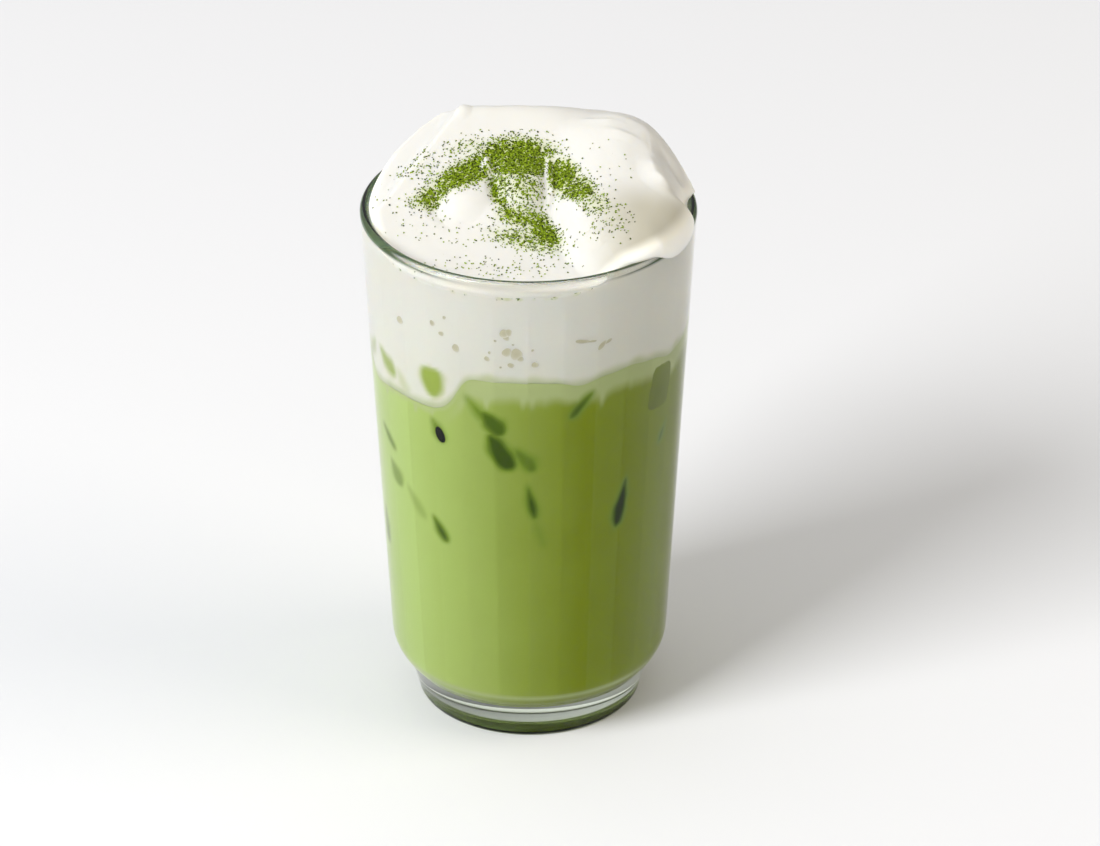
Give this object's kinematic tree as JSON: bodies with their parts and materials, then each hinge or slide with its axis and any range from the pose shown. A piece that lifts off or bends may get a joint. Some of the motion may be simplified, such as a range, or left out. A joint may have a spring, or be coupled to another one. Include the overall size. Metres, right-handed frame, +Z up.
{
  "type": "matcha einspanner",
  "caption": "Iced matcha drink in a footed glass tumbler, topped with a spooned heap of whipped cream that stands over the rim and is dusted with matcha powder.",
  "frame": {"origin": "centre of the glass's underside", "axes": "+Z up along the glass's axis, -Y the front that the picture shows, +X to the right of it"},
  "size_m": [0.08, 0.08, 0.1464],
  "materials": {
    "glass": "clear, pressed, with flat upright panels inside",
    "matcha": "green milky drink with ice in it",
    "cream": "soft whipped cream, satin, with green powder on top"
  },
  "bodies": {
    "root": {"glass": "glass", "matcha": "matcha", "cream": "cream"}
  },
  "joints": []
}
